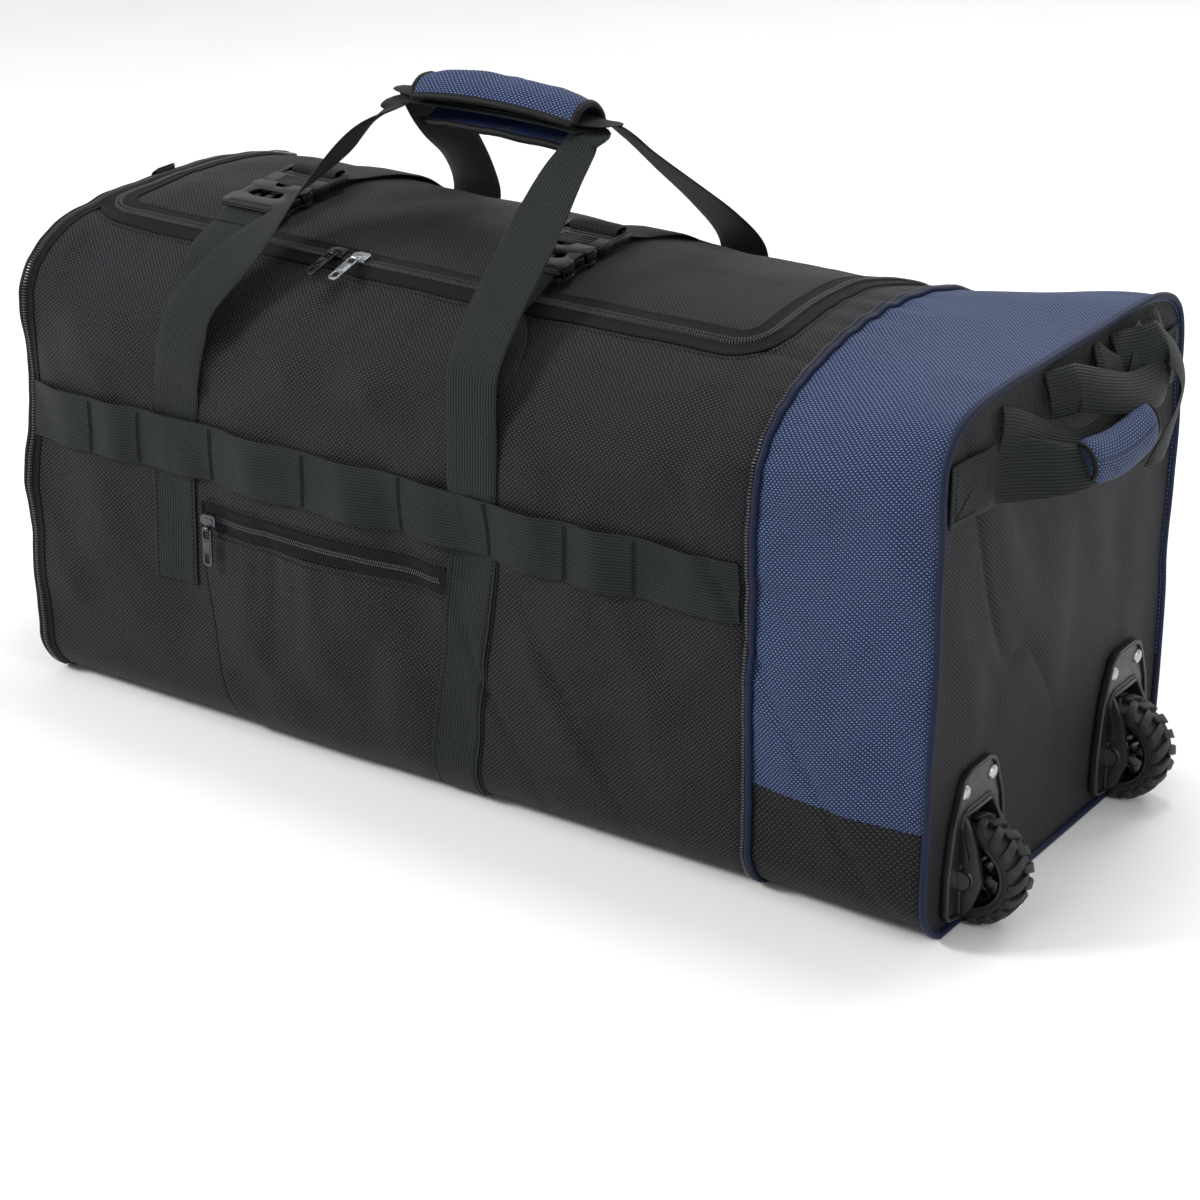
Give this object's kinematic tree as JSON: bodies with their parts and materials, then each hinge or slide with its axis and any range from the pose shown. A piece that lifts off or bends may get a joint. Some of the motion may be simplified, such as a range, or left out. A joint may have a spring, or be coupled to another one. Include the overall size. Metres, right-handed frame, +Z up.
{
  "type": "rolling duffel bag",
  "caption": "Large black and blue wheeled duffel with zipped lid, wrapped carry handles and off-road style wheels.",
  "frame": {"origin": "middle of the flat base, on the floor under the middle of the bag's length", "axes": "+X along the bag towards the wheel end, +Y towards the rear side where the lid hinges, +Z up"},
  "size_m": [1.0246, 0.4171, 0.559],
  "materials": {
    "body_fabric": "woven polyester, matt with a slight sheen",
    "blue_fabric": "woven polyester, matt with a slight sheen",
    "patch_fabric": "coarse woven polyester, matt",
    "webbing": "ribbed woven webbing",
    "mesh": "open knitted mesh",
    "zipper_tape": "woven tape with nylon coil",
    "piping": "satin corded piping",
    "black_plastic": "satin moulded",
    "board": "matt sheet",
    "tyre": "moulded tread",
    "bright_metal": "nickel plated",
    "steel": "turned",
    "black_metal": "black coated"
  },
  "bodies": {
    "bag": {"front_panel": "body_fabric", "rear_panel": "body_fabric", "base_panel": "patch_fabric", "far_end_panel": "body_fabric", "top_end_strips": "body_fabric", "base_boards": "board", "compartment_band": "blue_fabric", "corner_boots": "patch_fabric", "wheel_end_panel": "body_fabric", "wheel_end_board": "board", "wheel_end_piping": "piping", "seam_piping": "piping", "seam_zipper": "zipper_tape", "far_rim_zipper": "zipper_tape", "main_zip_body_side": "zipper_tape", "side_webbings": "webbing", "daisy_chains": "webbing", "front_pocket_panel": "body_fabric", "front_pocket_zipper": "zipper_tape", "buckle_tabs": "webbing", "wheel_end_handle": "webbing", "wheel_end_grip": "blue_fabric", "far_end_handle": "webbing", "far_end_grip": "blue_fabric", "d_ring_tab": "webbing", "mesh_pocket": "mesh", "mesh_pocket_zipper": "zipper_tape", "wheel_housings": "black_plastic", "housing_rivets": "bright_metal", "wheel_axles": "steel"},
    "lid": {"lid_panel": "body_fabric", "main_zip_lid_side": "zipper_tape", "lid_straps": "webbing", "buckle_sockets": "black_plastic", "buckle_plugs": "black_plastic"},
    "front_handle": {"front_handle_loop": "webbing"},
    "rear_handle": {"rear_handle_loop": "webbing", "grip_wrap": "blue_fabric"},
    "left_prong_near": {"left_prong_near": "black_plastic"},
    "left_prong_far": {"left_prong_far": "black_plastic"},
    "right_prong_near": {"right_prong_near": "black_plastic"},
    "right_prong_far": {"right_prong_far": "black_plastic"},
    "main_slider_left": {"main_slider_left": "black_metal"},
    "main_pull_left": {"main_pull_left": "black_metal"},
    "main_slider_right": {"main_slider_right": "bright_metal"},
    "main_pull_right": {"main_pull_right": "bright_metal"},
    "front_pocket_slider": {"front_pocket_slider": "black_metal"},
    "front_pocket_pull": {"front_pocket_pull": "black_metal"},
    "mesh_pocket_slider": {"mesh_pocket_slider": "black_metal"},
    "mesh_pocket_pull": {"mesh_pocket_pull": "black_metal"},
    "storage_slider": {"storage_slider": "black_metal"},
    "storage_pull": {"storage_pull": "black_metal"},
    "tow_strap": {"tow_strap": "webbing"},
    "d_ring": {"d_ring": "black_plastic"},
    "front_wheel": {"front_tyre": "tyre", "front_hub": "black_plastic", "front_bush": "black_plastic"},
    "rear_wheel": {"rear_tyre": "tyre", "rear_hub": "black_plastic", "rear_bush": "black_plastic"}
  },
  "joints": [
    {"name": "lid_hinge", "type": "hinge", "parent": "bag", "child": "lid", "pos_m": [0, 0.165, 0.39638], "axis": [-1, 0, 0], "range_deg": [0, 105]},
    {"name": "front_handle_swing", "type": "hinge", "parent": "bag", "child": "front_handle", "pos_m": [0, -0.2055, 0.376], "axis": [1, 0, 0], "range_deg": [0, 210]},
    {"name": "rear_handle_swing", "type": "hinge", "parent": "bag", "child": "rear_handle", "pos_m": [0, 0.2055, 0.3794], "axis": [-1, 0, 0], "range_deg": [0, 210]},
    {"name": "left_prong_near_squeeze", "type": "hinge", "parent": "lid", "child": "left_prong_near", "pos_m": [-0.2705, -0.03341, 0.43911], "axis": [0, 0.09, -0.9959], "range_deg": [0, 8], "stiffness_Nm_per_rad": 0.05},
    {"name": "left_prong_far_squeeze", "type": "hinge", "parent": "lid", "child": "left_prong_far", "pos_m": [-0.2955, -0.03341, 0.43911], "axis": [0, -0.09, 0.9959], "range_deg": [0, 8], "stiffness_Nm_per_rad": 0.05},
    {"name": "right_prong_near_squeeze", "type": "hinge", "parent": "lid", "child": "right_prong_near", "pos_m": [0.0225, -0.03341, 0.43911], "axis": [0, 0.09, -0.9959], "range_deg": [0, 8], "stiffness_Nm_per_rad": 0.05},
    {"name": "right_prong_far_squeeze", "type": "hinge", "parent": "lid", "child": "right_prong_far", "pos_m": [-0.0025, -0.03341, 0.43911], "axis": [0, -0.09, 0.9959], "range_deg": [0, 8], "stiffness_Nm_per_rad": 0.05},
    {"name": "main_slider_left_run", "type": "slide", "parent": "lid", "child": "main_slider_left", "axis": [1, 0, 0], "range_m": [-0.235, 0]},
    {"name": "main_pull_left_swing", "type": "hinge", "parent": "main_slider_left", "child": "main_pull_left", "pos_m": [-0.172, -0.11363, 0.42356], "axis": [-1, 0, 0], "range_deg": [0, 150]},
    {"name": "main_slider_right_run", "type": "slide", "parent": "lid", "child": "main_slider_right", "axis": [1, 0, 0], "range_m": [0, 0.36]},
    {"name": "main_pull_right_swing", "type": "hinge", "parent": "main_slider_right", "child": "main_pull_right", "pos_m": [-0.148, -0.11363, 0.42356], "axis": [-1, 0, 0], "range_deg": [0, 150]},
    {"name": "front_pocket_slider_run", "type": "slide", "parent": "bag", "child": "front_pocket_slider", "axis": [1, 0, 0], "range_m": [0, 0.21]},
    {"name": "front_pocket_pull_swing", "type": "hinge", "parent": "front_pocket_slider", "child": "front_pocket_pull", "pos_m": [-0.242, -0.2079, 0.1928], "axis": [-1, 0, 0], "range_deg": [0, 150]},
    {"name": "mesh_pocket_slider_run", "type": "slide", "parent": "bag", "child": "mesh_pocket_slider", "axis": [0, 1, 0], "range_m": [0, 0.3]},
    {"name": "mesh_pocket_pull_swing", "type": "hinge", "parent": "mesh_pocket_slider", "child": "mesh_pocket_pull", "pos_m": [-0.4579, -0.15, 0.2628], "axis": [0, 1, 0], "range_deg": [0, 150]},
    {"name": "storage_slider_run", "type": "slide", "parent": "bag", "child": "storage_slider", "axis": [0, 0, 1], "range_m": [-0.08, 0.18]},
    {"name": "storage_pull_swing", "type": "hinge", "parent": "storage_slider", "child": "storage_pull", "pos_m": [0.2863, 0.2046, 0.146], "axis": [1, 0, 0], "range_deg": [0, 150]},
    {"name": "tow_strap_lift", "type": "hinge", "parent": "bag", "child": "tow_strap", "pos_m": [0.451, 0, 0.428], "axis": [0, -1, 0], "range_deg": [0, 90]},
    {"name": "d_ring_swing", "type": "hinge", "parent": "bag", "child": "d_ring", "pos_m": [-0.4545, 0, 0.412], "axis": [0, 1, 0], "range_deg": [0, 140]},
    {"name": "front_wheel_spin", "type": "hinge", "parent": "bag", "child": "front_wheel", "pos_m": [0.456, -0.128, 0.044], "axis": [0, 1, 0], "continuous": true},
    {"name": "rear_wheel_spin", "type": "hinge", "parent": "bag", "child": "rear_wheel", "pos_m": [0.456, 0.128, 0.044], "axis": [0, 1, 0], "continuous": true}
  ],
  "couplings": [
    {"joint": "front_handle_swing", "follows": "lid_hinge", "ratio": 2},
    {"joint": "rear_handle_swing", "follows": "lid_hinge", "ratio": 2}
  ]
}
